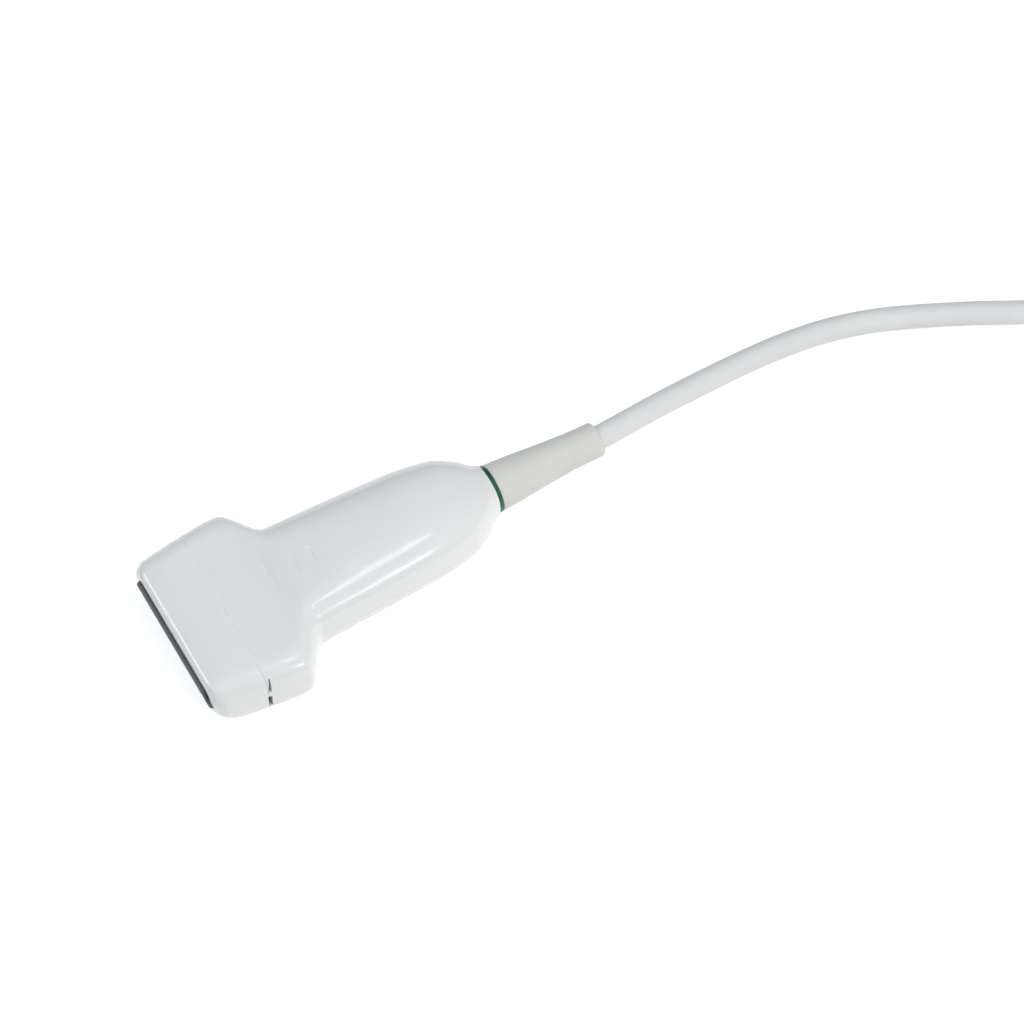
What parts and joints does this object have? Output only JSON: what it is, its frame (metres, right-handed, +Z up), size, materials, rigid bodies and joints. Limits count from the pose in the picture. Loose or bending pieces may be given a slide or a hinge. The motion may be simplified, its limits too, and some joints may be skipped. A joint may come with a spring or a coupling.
{
  "type": "ultrasound transducer probe",
  "caption": "Hand-held ultrasound probe: flat T-shaped white housing with a dark lens face, green ring, strain relief, cable folded in a tied hank and a connector with a locking knob.",
  "frame": {"origin": "on the surface that the probe lies on, under the middle of the probe between the crown of its lens and the end of its strain relief", "axes": "+X from the lens along the handle towards the cable, +Z up from the surface"},
  "size_m": [0.5488, 0.0698, 0.0428],
  "materials": {
    "housing": "moulded, glossy",
    "lens": "silicone, satin",
    "ring": "moulded",
    "strain_relief": "matt elastomer",
    "cable": "satin jacket",
    "strap": "woven hook and loop",
    "seal": "matt",
    "matching": "filled epoxy",
    "piezo": "ground",
    "backing": "filled epoxy",
    "frame": "machined",
    "flex": "polyimide film",
    "board": "solder mask",
    "black_plastic": "moulded",
    "spacer": "turned",
    "shield": "rolled copper sheet",
    "braid": "tinned braid",
    "steel": "machined",
    "connector_shell": "moulded, fine grain",
    "knob": "moulded"
  },
  "bodies": {
    "probe": {"nose_cap": "housing", "handle_upper": "housing", "handle_lower": "housing", "acoustic_lens": "lens", "id_ring": "ring", "strain_relief": "strain_relief", "connector_relief": "strain_relief", "cable_run": "cable", "cable_hank": "cable", "cable_tail": "cable", "hank_tie": "strap", "nose_seal": "seal", "matching_layer": "matching", "piezo_array": "piezo", "backing_block": "backing", "array_frame": "frame", "cable_clamp_upper": "frame", "cable_clamp_lower": "frame", "flex_circuit_upper": "flex", "flex_circuit_lower": "flex", "board_upper": "board", "board_lower": "board", "connector_board": "board", "flex_socket_upper": "black_plastic", "flex_socket_lower": "black_plastic", "contact_block": "black_plastic", "board_spacer_1": "spacer", "board_spacer_2": "spacer", "board_spacer_3": "spacer", "board_spacer_4": "spacer", "cable_ferrule": "spacer", "emi_shield": "shield", "coax_bundle": "braid", "clamp_screw_1": "steel", "clamp_screw_2": "steel", "connector_screw_1": "steel", "connector_screw_2": "steel", "connector_screw_3": "steel", "connector_screw_4": "steel", "connector_base": "connector_shell", "connector_cover": "connector_shell"},
    "lock": {"lock_shaft": "steel", "lock_knob": "knob"}
  },
  "joints": [
    {"name": "lock_turn", "type": "hinge", "parent": "probe", "child": "lock", "pos_m": [0.4489, -0.0104, 0.032], "axis": [0, 0, 1], "range_deg": [0, 90]}
  ]
}
